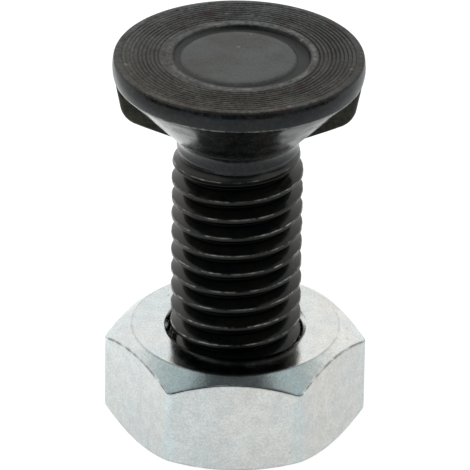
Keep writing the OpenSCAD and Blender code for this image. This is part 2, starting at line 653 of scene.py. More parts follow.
@dataclass(frozen=True)
class BlackOxide:
    """Oiled black oxide: clouded between two tones, filmed, rubbed bare along edges, with painted shade in
    the grooves.
    """

    name: str
    effects: Effects
    dark: Colour
    brown: Colour
    sheen: Colour
    ior: float
    gloss: Span = (0.14, 0.22)
    worn: Colour = (0.6, 0.58, 0.52, 1.0)
    # Near black colour of the painted shade in the thread's grooves.
    groove_shade: Colour = (0.004, 0.005, 0.0055, 1.0)
    film: Colour = (0.08, 0.071, 0.06, 1.0)
    filmed: float = 0.32
    film_grain: Span = (0.42, 0.7)
    breaks: Span = (0.36, 0.62)
    worn_scale: float = 900.0
    bareness: float = 0.8
    tones: Clouds = Clouds(330.0, 0.42, 0.62)
    blotches: Clouds = Clouds(800.0, 0.35, 0.7)
    pits: Spots = Spots(900.0, 0.16)
    pit_dullness: float = 0.2
    fine: Grain = Grain(3000.0, 4.0, 0.6)
    coarse: Grain = Grain(500.0, 2.0, 0.5)
    fine_height: float = 0.22
    coarse_height: float = 0.7
    bump_strength: float = 0.3
    bump_depth: float = 0.00004

    def material(self) -> Material:
        """Builds the finish.

        Returns:
            The material.
        """
        material, graph, shader = new_finish(self.name)
        place = graph.object_place()
        fine = graph.grain(place, self.fine)
        pits = self.effects.spots(graph, self.pits)
        groove = graph.mark(GROOVE)
        rubbed = self.effects.lines(graph, Clouds(self.worn_scale, *self.breaks))
        tone = graph.blend(self.effects.clouds(graph, self.tones), self.dark, self.brown)
        filmed = graph.blend(graph.rise(fine, *self.film_grain, 0.0, self.filmed), tone, self.film)
        # Painted shade: the marked grooves go near black.
        coat = graph.blend(groove, filmed, self.groove_shade)
        graph.feed(shader.inputs["Base Color"], graph.blend(rubbed, coat, self.worn))
        # Metallic where rubbed bare, and in the grooves, where the near black metal of the painted shade
        # gives almost no reflection.
        bare = graph.math("MAXIMUM", graph.math("MULTIPLY", rubbed, self.bareness), groove)
        graph.feed(shader.inputs["Metallic"], bare)
        gloss = graph.rise(self.effects.clouds(graph, self.blotches), 0.0, 1.0, *self.gloss)
        rough = graph.math("MULTIPLY_ADD", pits, self.pit_dullness, gloss)
        graph.feed(shader.inputs["Roughness"], rough)
        shader.inputs["IOR"].default_value = self.ior
        shader.inputs["Specular Tint"].default_value = self.sheen
        relief = graph.math("MULTIPLY", fine, self.fine_height)
        height = graph.math("MULTIPLY_ADD", graph.grain(place, self.coarse), self.coarse_height, relief)
        graph.bump(shader, graph.math("SUBTRACT", height, pits), self.bump_strength, self.bump_depth)
        return material


@dataclass(frozen=True)
class TurnedFace:
    """Matt turned face of the head: dirt in the rings, a smoother lip and pad, rust stains and dust, painted
    shade in the recess and towards the right, painted light towards the back.

    Sizes are in millimetres, ramps across the face in shares of the lip's or the recess's radius.
    """

    effects: Effects
    lip_r: float
    recess_r: float
    recess_shift: float
    top_z: float
    floor_z: float
    pad_z: float
    ring_depth: float
    grey: Colour = (0.09, 0.082, 0.068, 1.0)
    dirt_and_shade: Colour = (0.007, 0.006, 0.005, 1.0)
    # Near black: dirt in the rings, and painted shade in the recess.
    pale: Colour = (0.132, 0.136, 0.134, 1.0)
    stain: Colour = (0.045, 0.02, 0.015, 1.0)
    dust: Colour = (0.34, 0.33, 0.3, 1.0)
    tones: Clouds = Clouds(300.0, 0.35, 0.68)
    tone_share: float = 0.25
    fray: Grain = Grain(900.0)
    fray_width: float = 0.6
    lip_tone: Ramp = Ramp(0.7, -0.1, 0.0, 0.25)
    in_ring: Ramp = Ramp(0.15, 0.75)
    dirt_grain: Grain = Grain(420.0)
    patchy: Ramp = Ramp(0.32, 0.62, 0.5, 1.0)
    swept: Ramp = Ramp(-0.9, -0.2, 0.5, 1.0)
    kept: Ramp = Ramp(-1.0, 1.2, 0.75, 1.2)
    # Painted light towards the back, then painted shade towards the right.
    painted_back_light: Ramp = Ramp(-0.5, 1.3, 0.0, 0.6)
    painted_right_shade: Ramp = Ramp(0.4, 1.2, 1.0, 0.8)
    ring_grain: Grain = Grain(2.1, 2.0, 0.6)
    ring_wander: float = 0.6
    uneven: Ramp = Ramp(0.35, 0.65, 0.72, 1.15)
    struck: Ramp = Ramp(0.05, -0.05)
    # Painted shade in the recess: down its wall and on its floor round the pad, weaker at the left.
    wall: Ramp = Ramp(-0.2, -0.08, 0.0, 0.9)
    painted_wall_shade: Ramp = Ramp(-0.95, 0.2, 0.4, 1.0)
    painted_hollow_shade: Ramp = Ramp(-0.2, 0.9, 0.2, 0.6)
    below_pad: float = 0.04
    above_floor: float = 0.02
    pad_tones: Clouds = Clouds(260.0, 0.35, 0.65)
    pad_share: float = 0.5
    frost: Grain = Grain(4200.0, 4.0, 0.7)
    ring_frost: Ramp = Ramp(0.3, 0.7, 0.42, 1.45)
    pad_frost: Ramp = Ramp(0.3, 0.7, 0.82, 1.2)
    dullness: Ramp = Ramp(0.3, 0.7, 0.42, 0.55)
    stains: Clouds = Clouds(800.0, 0.52, 0.72)
    stained: Ramp = Ramp(0.0, 1.0, 0.65, 0.12)
    dots: Spots = Spots(1100.0, 0.24)
    dot_share: float = 0.4
    flecks: Clouds = Clouds(1100.0, 0.42, 0.64)
    ior: float = 1.25
    bump_strength: float = 0.6
    bump_depth: float = 0.00005

    def turned(self, graph: Graph, place: NodeSocket, axis: Node) -> NodeSocket:
        """Colours the rings and the lip, with painted light towards the back and painted shade towards the
        right.

        Args:
            graph: Graph of the finish.
            place: Coordinates of the piece.
            axis: Place from the bolt's axis.

        Returns:
            The colour.
        """
        reach = self.lip_r * MM
        radius = axis.outputs["Radius"]
        x, y, _ = graph.parts(place)
        clouds = self.effects.clouds(graph, self.tones)
        frayed = graph.math("MULTIPLY_ADD", graph.grain(place, self.fray), self.fray_width, radius)
        smooth = graph.ramp(frayed, self.lip_tone, start=self.lip_r)
        toned = graph.math("MULTIPLY_ADD", clouds, self.tone_share, smooth)
        # Paleness from random tone and the lip's smoothness, plus painted light towards the back.
        worn = graph.math("ADD", toned, graph.ramp(y, self.painted_back_light, reach))
        spot = graph.add("CombineXYZ")
        graph.feed(spot.inputs["X"], radius)
        graph.feed(spot.inputs["Y"], graph.math("MULTIPLY", clouds, self.ring_wander))
        uneven = graph.ramp(graph.grain(spot.outputs[0], self.ring_grain), self.uneven)
        # Painted shade: the lands darker towards the right, times the rings' uneven tone.
        uneven_and_painted_shade = graph.math("MULTIPLY", uneven, graph.ramp(x, self.painted_right_shade, reach))
        lands = graph.blend(1.0, graph.blend(worn, self.grey, self.pale), uneven_and_painted_shade, "MULTIPLY")
        depth = graph.math("SUBTRACT", self.top_z, axis.outputs["Height"])
        patchy = graph.ramp(graph.grain(place, self.dirt_grain), self.patchy)
        left = graph.math("MULTIPLY", graph.ramp(y, self.swept, reach), graph.ramp(x, self.kept, reach))
        filled = graph.math("MULTIPLY", patchy, left)
        in_ring = graph.ramp(depth, self.in_ring, self.ring_depth)
        return graph.blend(graph.math("MULTIPLY", in_ring, filled), lands, self.dirt_and_shade)

    def recess(self, graph: Graph, height: NodeSocket, axis: Node) -> NodeSocket:
        """Colours the pad and paints shade on the recess's wall and floor, stronger at the right.

        Args:
            graph: Graph of the finish.
            height: Height, in millimetres.
            axis: Place from the recess's own axis.

        Returns:
            The colour.
        """
        across = axis.outputs["Across"]
        # Painted shade down the recess's wall, stronger at the right.
        wall = graph.ramp(axis.outputs["Radius"], self.wall, start=self.recess_r)
        painted_wall_shade = graph.math("MULTIPLY", wall, graph.ramp(across, self.painted_wall_shade, self.recess_r))
        # Painted shade on the recess's floor round the pad, stronger at the right.
        deep = graph.rise(height, self.pad_z - self.below_pad, self.floor_z + self.above_floor)
        painted_hollow_shade = graph.math("MULTIPLY", deep, graph.ramp(across, self.painted_hollow_shade, self.recess_r))
        clouds = graph.math("MULTIPLY", self.effects.clouds(graph, self.pad_tones), self.pad_share)
        dull = graph.blend(clouds, self.pale, self.grey)
        # Painted shade of wall and floor over the pad's own colour.
        return graph.blend(graph.math("MAXIMUM", painted_wall_shade, painted_hollow_shade), dull, self.dirt_and_shade)

    def material(self) -> Material:
        """Builds the finish.

        Returns:
            The material.
        """
        material, graph, shader = new_finish("turned_face")
        place = graph.object_place()
        axis = graph.group(self.effects.axis)
        struck_axis = graph.group(self.effects.axis, Shift=self.recess_shift)
        frost = graph.grain(place, self.frost)
        struck = graph.ramp(struck_axis.outputs["Radius"], self.struck, start=self.recess_r)
        recess = self.recess(graph, axis.outputs["Height"], struck_axis)
        bare = graph.blend(struck, self.turned(graph, place, axis), recess)
        frosted = graph.blend(struck, graph.ramp(frost, self.ring_frost), graph.ramp(frost, self.pad_frost))
        grained = graph.blend(1.0, bare, frosted, "MULTIPLY")
        stains = self.effects.clouds(graph, self.stains)
        rusted = graph.math("MULTIPLY", stains, graph.ramp(struck, self.stained))
        dots = self.effects.spots(graph, self.dots)
        flecks = self.effects.lines(graph, self.flecks)
        dusted = graph.math("MAXIMUM", graph.math("MULTIPLY", dots, self.dot_share), flecks)
        colour = graph.blend(dusted, graph.blend(rusted, grained, self.stain), self.dust)
        graph.feed(shader.inputs["Base Color"], colour)
        graph.feed(shader.inputs["Roughness"], graph.ramp(frost, self.dullness))
        shader.inputs["IOR"].default_value = self.ior
        graph.bump(shader, graph.math("ADD", frost, dots), self.bump_strength, self.bump_depth)
        return material


@dataclass(frozen=True)
class ZincPlate:
    """Bright zinc plate on the nut, frosted, clouded warm and cool, with a painted cool reflection on its
    rounded upright edges and painted shade in grey lines along its edges.
    """

    effects: Effects
    half_width: float
    cool: Colour = (0.73, 0.79, 0.79, 1.0)
    warm: Colour = (0.8, 0.795, 0.755, 1.0)
    # Painted reflection: the cool tint of the rounded upright edges.
    painted_reflection_tint: Colour = (0.71, 0.8, 0.805, 1.0)
    # Painted shade: the grey of the lines along the marked edges.
    edge: Colour = (0.13, 0.135, 0.135, 1.0)
    warm_side: Ramp = Ramp(-1.0, 1.0, 0.0, 0.5)
    tones: Clouds = Clouds(260.0, 0.36, 0.64)
    tone_share: float = 0.5
    # How strongly the painted reflection shows, from the coarser grain.
    reflection_share: Ramp = Ramp(0.3, 0.7, 0.35, 0.85)
    frost: Grain = Grain(6500.0, 3.0, 0.7)
    frost_tone: Ramp = Ramp(0.3, 0.7, 0.84, 1.06)
    frost_height: float = 0.35
    patches: Grain = Grain(1100.0, 3.0, 0.6)
    patch_tone: Ramp = Ramp(0.3, 0.7, 0.92, 1.04)
    patch_gloss: Ramp = Ramp(0.3, 0.7, 0.09, 0.16)
    pits: Spots = Spots(1200.0, 0.14)
    pit_grey: float = 0.35
    lines: Clouds = Clouds(900.0, 0.3, 0.58)
    dents: Grain = Grain(420.0, 3.0, 0.5)
    dent_height: float = 0.8
    bump_strength: float = 0.35
    bump_depth: float = 0.00005

    def plate(self, graph: Graph, place: NodeSocket, frost: NodeSocket, patches: NodeSocket) -> NodeSocket:
        """Colours the plate.

        Args:
            graph: Graph of the finish.
            place: Coordinates of the piece.
            frost: Fine grain.
            patches: Coarser grain.

        Returns:
            The colour, without the painted shade lines along its edges.
        """
        side = graph.ramp(graph.parts(place)[0], self.warm_side, self.half_width * MM)
        clouds = self.effects.clouds(graph, self.tones)
        tone = graph.blend(graph.math("MULTIPLY_ADD", clouds, self.tone_share, side), self.cool, self.warm)
        # Painted reflection: a cool tint on the marked rounded upright edges.
        reflection_share = graph.math("MULTIPLY", graph.mark(PAINTED_CORNER_REFLECTION), graph.ramp(patches, self.reflection_share))
        tinted = graph.blend(reflection_share, tone, self.painted_reflection_tint)
        fine = graph.ramp(frost, self.frost_tone)
        frosted = graph.math("MULTIPLY", fine, graph.ramp(patches, self.patch_tone))
        return graph.blend(1.0, tinted, frosted, "MULTIPLY")

    def material(self) -> Material:
        """Builds the finish.

        Returns:
            The material.
        """
        material, graph, shader = new_finish("zinc_plate")
        place = graph.object_place()
        frost = graph.grain(place, self.frost)
        patches = graph.grain(place, self.patches)
        pits = self.effects.spots(graph, self.pits)
        # Painted shade: broken grey lines along the marked edges, joined with grey pits.
        lines = self.effects.lines(graph, self.lines)
        edge_shade_and_pits = graph.math("MAXIMUM", lines, graph.math("MULTIPLY", pits, self.pit_grey))
        plate = self.plate(graph, place, frost, patches)
        graph.feed(shader.inputs["Base Color"], graph.blend(edge_shade_and_pits, plate, self.edge))
        shader.inputs["Metallic"].default_value = 1.0
        graph.feed(shader.inputs["Roughness"], graph.ramp(patches, self.patch_gloss))
        relief = graph.math("MULTIPLY", frost, self.frost_height)
        height = graph.math("MULTIPLY_ADD", graph.grain(place, self.dents), self.dent_height, relief)
        graph.bump(shader, graph.math("SUBTRACT", height, pits), self.bump_strength, self.bump_depth)
        return material


@dataclass
class Bolt:
    """The bolt, one forged and rolled piece. Sizes are in millimetres, rows in shares of a length."""

    end_z: float
    top_z: float
    head_r: float
    rim_height: float = 1.57
    rim_crown: float = 0.12
    rim_steps: int = 12
    rim_clear: float = 0.06
    rim_nick: float = 0.01
    rim_land: float = 0.05
    face_edge: float = 0.08
    face_edge_steps: int = 4
    face_clear: float = 0.096
    cone_half_deg: float = 43.5
    cone_rows: tuple[float, ...] = (0.3, 0.45, 0.6, 0.75, 0.9, 0.985)
    neck_r: float = 4.5
    neck_length: float = 0.75
    neck_fillet: float = 1.5
    neck_steps: int = 10
    recess_r: float = 5.0
    recess_depth: float = 0.35
    recess_shift: float = 0.2
    shift_margin: float = 0.2
    mouth_r: float = 0.2
    mouth_inset: float = 0.18
    mouth_end_deg: float = 170.0
    mouth_steps: int = 6
    wall_lean: float = 0.09
    wall_foot: float = 0.16
    foot_height: float = 0.06
    pad_r: float = 4.3
    pad_height: float = 0.22
    pad_offset: float = 0.25
    pad_reach: float = 0.12
    pad_soft: float = 0.34
    pad_steps: int = 8
    pad_rows: int = 12
    pad_margin: float = 0.15
    pad_wave: float = 0.03
    wave_scale: float = 0.9
    lip: float = 0.75
    lip_rows: tuple[float, ...] = (0.8, 0.6, 0.4)
    lip_clear: float = 0.5
    rings: int = 10
    ring_depth: float = 0.07
    ring_margin: float = 0.35
    ring_form: tuple[Point, ...] = ((0.32, 0.0), (0.15, 0.75), (0.0, 1.0), (-0.15, 0.75), (-0.32, 0.0))
    ring_least: float = 0.1
    ring_mean: float = 0.75
    ring_patch: float = 0.35
    ring_patch_scale: float = 0.45
    ring_own: float = 0.3
    ring_own_scale: float = 3.1
    ring_own_row: float = 4.7
    nib_width: float = 4.0
    nib_inset: float = 0.16
    nib_lean_deg: float = 11.0
    nib_slope_deg: float = 19.0
    nib_depth: float = 5.85
    nib_corner: float = 1.8
    nib_corner_steps: int = 10
    nib_soft: float = 0.35
    nib_soft_steps: int = 3
    seam: float = 0.12
    thread_r: float = 4.85
    pitch: float = 1.5
    thread_depth: float = 0.6134
    root_round: float = 0.144
    crest_half: float = 0.085
    crest_window: tuple[float, ...] = (-0.022, -0.011, 0.0, 0.011, 0.022)
    crest_rows: tuple[float, ...] = (0.045, 0.065, 0.085, 0.1, 0.12, 0.2)
    root_rows: tuple[float, ...] = (0.31, 0.36, 0.385, 0.41, 0.44, 0.47, 0.5)
    runout: float = 1.6
    runout_gap: float = 0.05
    blank_inset: float = 0.05
    overlap: float = 0.3
    spare_turns: float = 2.0
    thread_start_deg: float = 73.0
    end_cut: float = 0.2
    crest_nick: float = 0.03
    nick_reach: float = 0.15
    nick_noise: Span = (0.05, 0.45)
    nick_scale: float = 1.7
    head_steps: int = 192
    thread_steps: int = 120
    weld: float = 1e-5
    crease_deg: float = 32.0
    edge_wear: float = 0.6
    rim_line: float = 0.06
    rim_line_depth: float = 0.1
    lip_line: float = 0.12
    crest_line: float = 0.035
    blue_reach: float = 0.42
    # Painted shade on the thread: the crest's lower half, the lower flanks, the roots and the run-out near
    # the neck.
    crest_shade: float = 0.6
    crest_turn: float = 0.05
    flank_turn: float = 0.03
    upper_flank: float = 0.2
    root_shade: Span = (0.36, 0.4)
    runout_shade: float = 0.8
    runout_shade_end: float = 0.4
    runout_shade_rows: Span = (0.22, 0.4)
    face_margin: float = 0.05
    face_up: float = 0.5
    nib_margin: float = 0.1
    seam_margin: float = 0.02

    @classmethod
    def from_frame(cls) -> "Bolt":
        """Takes the bolt's reach from its solid in the frame."""
        low, high = node_box(Body.BOLT.value)
        return cls(end_z=low.z, top_z=high.z, head_r=high.x)

    @property
    def rim_edge(self) -> Point:
        """Radius and height of the edge between rim and cone."""
        return self.head_r - self.rim_crown, self.top_z - self.rim_height

    @property
    def rim_mid(self) -> float:
        """Height of the rim's middle."""
        return self.rim_edge[1] + self.rim_height / 2

    @property
    def face_r(self) -> float:
        """Radius of the flat face, inside the break on its edge."""
        return self.head_r - self.rim_crown - self.face_edge

    @property
    def cone_foot(self) -> float:
        """Height at which the lines of cone and neck meet."""
        radius, height = self.rim_edge
        return height - (radius - self.neck_r) / math.tan(math.radians(self.cone_half_deg))

    @property
    def neck_low(self) -> float:
        """Height of the neck's lower end, where the thread starts."""
        return self.cone_foot - self.neck_length

    @property
    def nib_inner(self) -> float:
        """Distance from the axis at which a nib ends inside the head."""
        return self.neck_r / 2

    @property
    def first_crest(self) -> float:
        """Height of a crest at the angle 0, below the bolt's end."""
        return self.end_z - (self.spare_turns + self.thread_start_deg / 360.0) * self.pitch

    @property
    def floor_z(self) -> float:
        """Height of the recess's floor."""
        return self.top_z - self.recess_depth

    @property
    def root_r(self) -> float:
        """Radius at the bottom of the thread."""
        return self.thread_r - self.thread_depth * self.pitch

    def rim_profile(self) -> list[Point]:
        """Gives the swelling rim's section, from just above the cone up to the face.

        Returns:
            The points of the rim.
        """
        low = self.rim_edge[1]
        shares = [2.0 * step / self.rim_steps - 1.0 for step in range(self.rim_steps + 1)]
        places = [
            (self.head_r - self.rim_crown * share**2, low + self.rim_height * (share + 1.0) / 2)
            for share in shares
        ]
        swell = [(r, z) for r, z in places if low + self.rim_clear < z < self.top_z - self.face_clear]
        centre = (self.face_r, self.top_z - self.face_edge)
        return swell + arc(centre, self.face_edge, 0.0, 90.0, self.face_edge_steps)

    def ring_profile(self) -> list[Point]:
        """Gives the turned rings' section, from the rim inwards.

        Returns:
            The points of every ring.
        """
        outer = self.face_r - self.ring_margin
        width = (outer - self.recess_r - self.lip) / self.rings
        return [
            (outer - (ring + 0.5) * width + across * width, self.top_z - depth * self.ring_depth)
            for ring in range(self.rings)
            for across, depth in self.ring_form
        ]

    def recess_profile(self) -> list[Point]:
        """Gives the section of lip, recess and pad, from the rings to the axis.

        Returns:
            The points of the section.
        """
        floor = self.floor_z
        mouth = (self.recess_r + self.mouth_inset, self.top_z - self.mouth_r)
        pad_edge = [
            (
                self.pad_r + self.pad_reach - self.pad_soft * step / self.pad_steps,
                floor + self.pad_height * smooth_step(0, self.pad_steps, step),
            )
            for step in range(self.pad_steps + 1)
        ]
        flat = range(self.pad_rows - 2, -1, -1)
        return [
            *[(self.recess_r + share * self.lip, self.top_z) for share in self.lip_rows],
            *arc(mouth, self.mouth_r, 90.0, self.mouth_end_deg, self.mouth_steps),
            (self.recess_r - self.wall_lean, floor + self.foot_height),
            (self.recess_r - self.wall_foot, floor),
            *pad_edge,
            *[(self.pad_r * step / self.pad_rows, floor + self.pad_height) for step in flat],
        ]

    def head_profile(self) -> list[Point]:
        """Gives the section of neck, cone, rim and face, from the neck's foot to the axis.

        Returns:
            The points of the section.
        """
        reach = self.neck_fillet * math.tan(math.radians(self.cone_half_deg) / 2)
        fillet = (self.neck_r + self.neck_fillet, self.cone_foot - reach)
        rim_r, rim_z = self.rim_edge
        across = rim_r - self.neck_r
        climb = rim_z - self.cone_foot
        return [
            (0.0, self.neck_low),
            (self.neck_r, self.neck_low),
            *arc(fillet, self.neck_fillet, 180.0, 180.0 - self.cone_half_deg, self.neck_steps),
            *[(self.neck_r + across * row, self.cone_foot + climb * row) for row in self.cone_rows],
            (rim_r - self.rim_nick, rim_z + self.rim_nick),
            (rim_r + self.rim_nick, rim_z + self.rim_land),
            *self.rim_profile(),
            *self.ring_profile(),
            *self.recess_profile(),
        ]

    def strike(self, vert: BMVert) -> None:
        """Moves a point of the face: recess and pad off centre, the pad uneven, the rings of uneven depth.

        Args:
            vert: The point.
        """
        radius = math.hypot(vert.co.x, vert.co.y)
        on_head = vert.co.z > self.rim_edge[1]
        if on_head:
            lip_end = self.recess_r + self.lip
            struck = 1.0 - smooth_step(self.recess_r + self.shift_margin, lip_end, radius)
            vert.co.x += self.recess_shift * struck
        if vert.co.z > self.floor_z - NEAR and radius < self.recess_r:
            inside = 1.0 - smooth_step(self.pad_r + self.pad_margin, self.recess_r - self.wall_foot, radius)
            vert.co.x -= self.pad_offset * inside
            vert.co.z += self.pad_wave * inside * noise.noise(vert.co * self.wave_scale)
        elif on_head and self.recess_r + self.lip_clear < radius < self.face_r:
            own = noise.noise(Vector((self.ring_own_scale * radius, self.ring_own_row, 0.0)))
            patch = noise.noise(vert.co * self.ring_patch_scale)
            faded = max(self.ring_least, self.ring_mean + self.ring_patch * patch + self.ring_own * own)
            vert.co.z = self.top_z - (self.top_z - vert.co.z) * faded

    def head(self) -> Object:
        """Builds head, cone and neck, with recess and pad struck a little off centre.

        Returns:
            The closed shape.
        """
        mesh = bmesh.new()
        revolve(mesh, draw_profile(mesh, self.head_profile()), self.head_steps)
        for vert in mesh.verts:
            self.strike(vert)
        return as_object(mesh, "head_shape")

    def nib_outline(self) -> list[Point]:
        """Gives a nib's outline in the plane of the axis.

        Returns:
            The points, from the inner top corner round by the underside.
        """
        lean = math.tan(math.radians(self.nib_lean_deg))
        slope = math.tan(math.radians(self.nib_slope_deg))
        top_x = self.rim_edge[0] - self.nib_inset
        rim_z = self.rim_edge[1]
        root_z = self.top_z - self.nib_depth
        corner_x = (top_x - lean * (rim_z - root_z + slope * self.neck_r)) / (1 - lean * slope)
        corner_z = root_z + slope * (corner_x - self.neck_r)
        turn = 90.0 - self.nib_lean_deg - self.nib_slope_deg
        reach = self.nib_corner * math.tan(math.radians(turn / 2))
        tilt = math.radians(self.nib_slope_deg)
        centre = (
            corner_x - reach * math.cos(tilt) - self.nib_corner * math.sin(tilt),
            corner_z - reach * math.sin(tilt) + self.nib_corner * math.cos(tilt),
        )
        start = self.nib_slope_deg - 90.0
        return [
            (self.nib_inner, self.rim_mid),
            (self.nib_inner, root_z - slope * (self.neck_r - self.nib_inner)),
            *arc(centre, self.nib_corner, start, start + turn, self.nib_corner_steps),
            (top_x - lean * self.seam, rim_z - self.seam),
            (top_x, rim_z),
            (top_x, self.rim_mid),
        ]

    def nib(self, side: float) -> Object:
        """Builds one nib.

        Args:
            side: 1 for the nib along +X, -1 for the one along -X.

        Returns:
            The closed shape, its outer edges rounded.
        """
        mesh = bmesh.new()
        verts = [mesh.verts.new((x, self.nib_width / 2, z)) for x, z in self.nib_outline()]
        face = mesh.faces.new(verts)
        swept = bmesh.ops.extrude_face_region(mesh, geom=[face])["geom"]
        bmesh.ops.translate(mesh, verts=only_verts(swept), vec=(0.0, -self.nib_width, 0.0))
        bmesh.ops.recalc_face_normals(mesh, faces=mesh.faces[:])
        outer = [
            edge
            for face in mesh.faces
            if abs(face.normal.y) > 1.0 - NEAR
            for edge in face.edges
            if all(vert.co.x > self.nib_inner + NEAR for vert in edge.verts)
        ]
        bmesh.ops.bevel(
            mesh,
            geom=outer,
            offset=self.nib_soft,
            affect="EDGES",
            segments=self.nib_soft_steps,
            profile=0.5,
            material=-1,
        )
        if side < 0:
            half_turn = Matrix.Rotation(math.pi, 3, "Z")
            bmesh.ops.rotate(mesh, verts=mesh.verts[:], cent=(0, 0, 0), matrix=half_turn)
        close_mesh(mesh)
        return as_object(mesh, "nib_shape")

    def thread_form(self, share: float) -> float:
        """Gives the thread's radius across one pitch, crest in the middle.

        Args:
            share: Place along the pitch, from -0.5 to 0.5.

        Returns:
            The radius, with crest and root rounded.
        """
        window = self.crest_window
        return sum(self.sharp_form(share + step) for step in window) / len(window)

    def sharp_form(self, share: float) -> float:
        """Gives the thread's radius before its crest is rounded: flat crest, straight flank, round root.

        Args:
            share: Place along the pitch, from the middle of a crest.

        Returns:
            The radius.
        """
        from_crest = abs((share + 0.5) % 1.0 - 0.5)
        from_root = (0.5 - from_crest) * self.pitch
        root_round = self.root_round * self.pitch
        if from_root < root_round * math.sin(SIXTH):
            return self.root_r + root_round - math.sqrt(root_round**2 - from_root**2)
        flank = (from_crest - self.crest_half) * self.pitch / math.tan(SIXTH / 2)
        return min(self.thread_r, self.thread_r - flank)

    def roll(self, vert: BMVert) -> None:
        """Moves a point of the endless thread to run out at the neck, carry nicks and end in a chamfer.

        Args:
            vert: The point.
        """
        blank_r = self.neck_r - self.blank_inset
        radius = math.hypot(vert.co.x, vert.co.y)
        below = self.neck_low - self.runout_gap - vert.co.z
        formed = min(1.0, max(0.0, below / self.runout))
        nicked = smooth_step(*self.nick_noise, noise.noise(vert.co * self.nick_scale))
        crest = smooth_step(self.thread_r - self.nick_reach, self.thread_r, radius)
        target = blank_r + (radius - self.crest_nick * nicked * crest - blank_r) * formed
        chamfer = self.root_r - self.end_cut + max(0.0, vert.co.z - self.end_z)
        scale = min(target, chamfer) / radius
        vert.co.x *= scale
        vert.co.y *= scale

    def thread(self) -> Object:
        """Builds the threaded shank: a helix swept from one pitch, run out at the neck and cut at the end.

        Returns:
            The closed shape.
        """
        cap_z = self.neck_low + self.overlap
        turns = math.ceil((cap_z - self.first_crest) / self.pitch) + 1
        rows = self.crest_rows + self.root_rows
        places = [-row for row in reversed(rows)] + [0.0, *rows]
        form = [(self.thread_form(place), self.first_crest + place * self.pitch) for place in places]
        mesh = bmesh.new()
        bmesh.ops.spin(
            mesh,
            geom=draw_profile(mesh, form),
            cent=(0, 0, 0),
            axis=(0, 0, 1),
            dvec=(0, 0, self.pitch / self.thread_steps),
            angle=FULL_TURN,
            steps=self.thread_steps,
        )
        one_turn = whole(mesh)
        for turn in range(1, turns):
            copied = bmesh.ops.duplicate(mesh, geom=one_turn)["geom"]
            bmesh.ops.translate(mesh, verts=only_verts(copied), vec=(0, 0, turn * self.pitch))
        bmesh.ops.remove_doubles(mesh, verts=mesh.verts[:], dist=WELD)
        for vert in mesh.verts:
            self.roll(vert)
        for height, normal in ((self.end_z, -1.0), (cap_z, 1.0)):
            bmesh.ops.bisect_plane(
                mesh,
                geom=whole(mesh),
                plane_co=(0, 0, height),
                plane_no=(0, 0, normal),
                clear_outer=True,
            )
        bmesh.ops.holes_fill(mesh, edges=[edge for edge in mesh.edges if edge.is_boundary], sides=0)
        close_mesh(mesh)
        return as_object(mesh, "thread_shape")

    def wear(self, place: Vector) -> float:
        """Tells how worn a point is: the crests' upper edges, the rim's lower edge and the lip are.

        Args:
            place: The point.

        Returns:
            The wear, from 0 to 1.
        """
        rim_r, rim_z = self.rim_edge
        if place.z > self.neck_low:
            outside = math.hypot(place.x, place.y) > rim_r - self.rim_line_depth
            on_rim = outside and abs(place.z - rim_z) < self.rim_line
            from_lip = math.hypot(place.x - self.recess_shift, place.y) - self.recess_r - self.lip / 2
            on_lip = place.z > rim_z and abs(from_lip) < self.lip_line
            return self.edge_wear * (on_rim + on_lip)
        from_edge = abs(self.from_crest(place) - self.crest_half)
        formed = smooth_step(0.0, self.runout, self.neck_low - place.z)
        return max(0.0, 1.0 - from_edge / self.crest_line) * formed

    def groove(self, place: Vector) -> float:
        """Tells how much painted shade a point of the thread takes: the roots, the lower flanks and the
        run-out take it.

        Args:
            place: The point.

        Returns:
            The painted shade, from 0 to 1.
        """
        if place.z > self.neck_low - self.blue_reach:
            return 0.0
        share = self.from_crest(place)
        near_neck = smooth_step(self.runout, self.runout_shade_end * self.runout, self.neck_low - place.z)
        upper = self.runout_shade * near_neck * smooth_step(*self.runout_shade_rows, share)
        if share > self.upper_flank:
            return max(upper, smooth_step(*self.root_shade, share))
        crest = smooth_step(self.crest_turn, -self.crest_turn, share)
        flank = smooth_step(-self.crest_half, -self.crest_half - self.flank_turn, share)
        return max(upper, self.crest_shade * crest + (1.0 - self.crest_shade) * flank)

    def from_crest(self, place: Vector) -> float:
        """Gives a point's distance above the nearest crest, as a share of the pitch."""
        turns = (place.z - self.first_crest) / self.pitch - math.atan2(place.y, place.x) / FULL_TURN
        return turns - round(turns)

    def finish_of(self, face: BMFace) -> Finish:
        """Picks a face's finish.

        Args:
            face: Face of the finished bolt, in millimetres.

        Returns:
            The finish.
        """
        middle = face.calc_center_median_weighted()
        rim_r, rim_z = self.rim_edge
        if middle.z > rim_z:
            on_face = middle.z > self.floor_z - self.face_margin and face.normal.z > self.face_up
            return Finish.FACE if on_face else Finish.HEAD
        if middle.z < self.neck_low - self.blue_reach:
            return Finish.THREAD
        cone_r = rim_r - (rim_z - middle.z) * math.tan(math.radians(self.cone_half_deg))
        skin_r = max(cone_r, self.neck_r + self.neck_fillet / 2)
        on_nib = math.hypot(middle.x, middle.y) > skin_r + self.nib_margin
        return Finish.NIB if on_nib and middle.z < rim_z - self.seam_margin else Finish.HEAD

    def build(self) -> Object:
        """Joins head, nibs and thread into the finished bolt.

        Returns:
            The bolt's object, in metres.
        """
        mesh = unite(self.head(), [self.nib(1.0), self.nib(-1.0), self.thread()])
        close_mesh(mesh, self.weld)
        shade(mesh, self.crease_deg)
        wear_layer = mesh.verts.layers.float.new(WEAR)
        groove_layer = mesh.verts.layers.float.new(GROOVE)
        for vert in mesh.verts:
            vert[wear_layer] = self.wear(vert.co)
